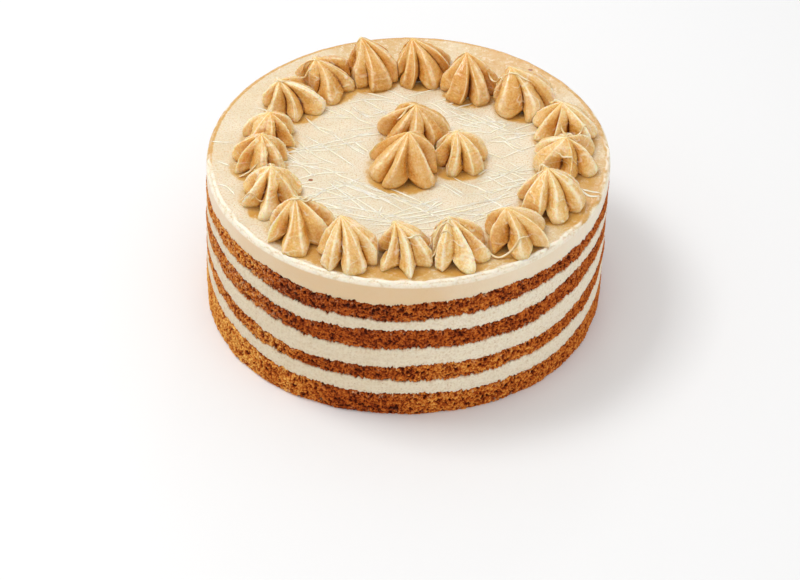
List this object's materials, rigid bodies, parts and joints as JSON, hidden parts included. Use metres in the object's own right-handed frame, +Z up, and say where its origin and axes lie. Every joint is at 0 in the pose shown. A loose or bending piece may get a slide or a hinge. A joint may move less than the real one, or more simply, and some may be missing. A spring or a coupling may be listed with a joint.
{
  "type": "caramel torte",
  "caption": "Round layered torte of caramel sponge and pale cream, with a thick cream top, a ring of piped rosettes near its edge and a few in the middle.",
  "frame": {"origin": "on the base, in the middle of the outline seen from above", "axes": "+Z up through the layers; -Y is the front that the picture shows, +X is to its right"},
  "size_m": [0.204, 0.2026, 0.1046],
  "materials": {
    "sponge": "soft porous caramel-brown crumb with ragged cut edges, from golden brown to dark brown",
    "filling_cream": "soft pale cream, spread by knife, with tiny brown crumbs in it",
    "top_cream": "smooth pale caramel cream with a soft shine",
    "piped_cream": "light caramel cream, pale and shiny on its crests and browner in its grooves",
    "glaze": "thin, nearly clear glossy syrup drizzled in fine crossing lines"
  },
  "bodies": {
    "root": {"sponge_1": "sponge", "cream_1": "filling_cream", "sponge_2": "sponge", "cream_2": "filling_cream", "sponge_3": "sponge", "cream_3": "filling_cream", "sponge_4": "sponge", "cream_top": "top_cream", "rim_rosette_01": "piped_cream", "rim_rosette_02": "piped_cream", "rim_rosette_03": "piped_cream", "rim_rosette_04": "piped_cream", "rim_rosette_05": "piped_cream", "rim_rosette_06": "piped_cream", "rim_rosette_07": "piped_cream", "rim_rosette_08": "piped_cream", "rim_rosette_09": "piped_cream", "rim_rosette_10": "piped_cream", "rim_rosette_11": "piped_cream", "rim_rosette_12": "piped_cream", "rim_rosette_13": "piped_cream", "rim_rosette_14": "piped_cream", "rim_rosette_15": "piped_cream", "rim_rosette_16": "piped_cream", "rim_rosette_17": "piped_cream", "centre_rosette_01": "piped_cream", "centre_rosette_02": "piped_cream", "centre_rosette_03": "piped_cream"}
  },
  "joints": []
}
